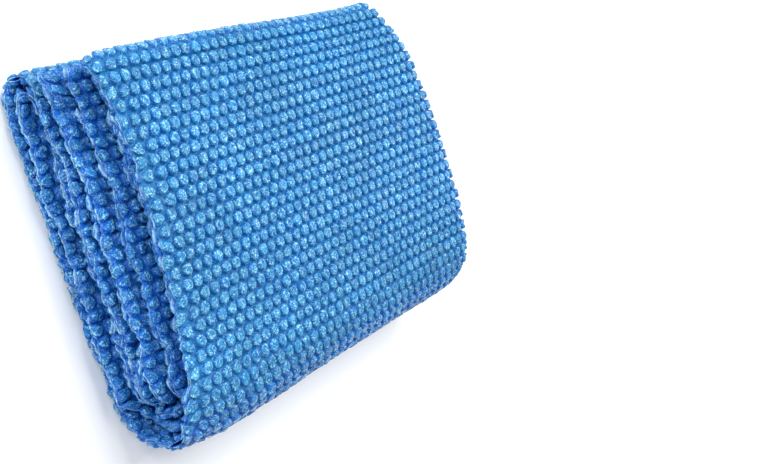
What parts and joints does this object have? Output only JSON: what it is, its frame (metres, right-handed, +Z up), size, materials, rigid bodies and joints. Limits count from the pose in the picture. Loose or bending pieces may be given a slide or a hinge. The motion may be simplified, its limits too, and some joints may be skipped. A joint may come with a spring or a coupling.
{
  "type": "folded bubble pool cover",
  "caption": "Floating pool cover of blue bubble film, folded into a flat pack that lies on its back and opens at its bottom fold like a book.",
  "frame": {"origin": "centre of the pack's footprint, on the surface it lies on", "axes": "+X along the cross folds, from the cut long edges to the long fold; +Y from the bottom fold to the top folds; +Z up through the layers, out of the large front face"},
  "size_m": [0.46, 0.3174, 0.102],
  "materials": {
    "bubble_film": "glossy translucent polyethylene bubble film, bubble side out"
  },
  "bodies": {
    "back_half": {"back_layer": "bubble_film", "back_second_layer": "bubble_film", "back_third_layer": "bubble_film", "back_fourth_layer": "bubble_film", "back_top_fold": "bubble_film", "back_top_inner_fold": "bubble_film", "bottom_fold_outer": "bubble_film", "bottom_fold_second": "bubble_film", "bottom_fold_third": "bubble_film", "bottom_fold_inner": "bubble_film"},
    "middle_leaf": {"leaf_lower_layer": "bubble_film", "leaf_upper_layer": "bubble_film"},
    "front_leaf": {"front_inner_layer": "bubble_film", "front_layer": "bubble_film", "front_top_fold": "bubble_film"}
  },
  "joints": [
    {"name": "front_leaf_open", "type": "hinge", "parent": "back_half", "child": "front_leaf", "pos_m": [0, -0.10775, 0.051], "axis": [1, 0, 0], "range_deg": [0, 180], "deforming": ["bottom_fold_outer", "bottom_fold_second"]},
    {"name": "middle_leaf_open", "type": "hinge", "parent": "back_half", "child": "middle_leaf", "pos_m": [0, -0.10775, 0.051], "axis": [1, 0, 0], "range_deg": [0, 90], "deforming": ["bottom_fold_third", "bottom_fold_inner"]}
  ],
  "couplings": [
    {"joint": "middle_leaf_open", "follows": "front_leaf_open", "ratio": 0.5}
  ]
}
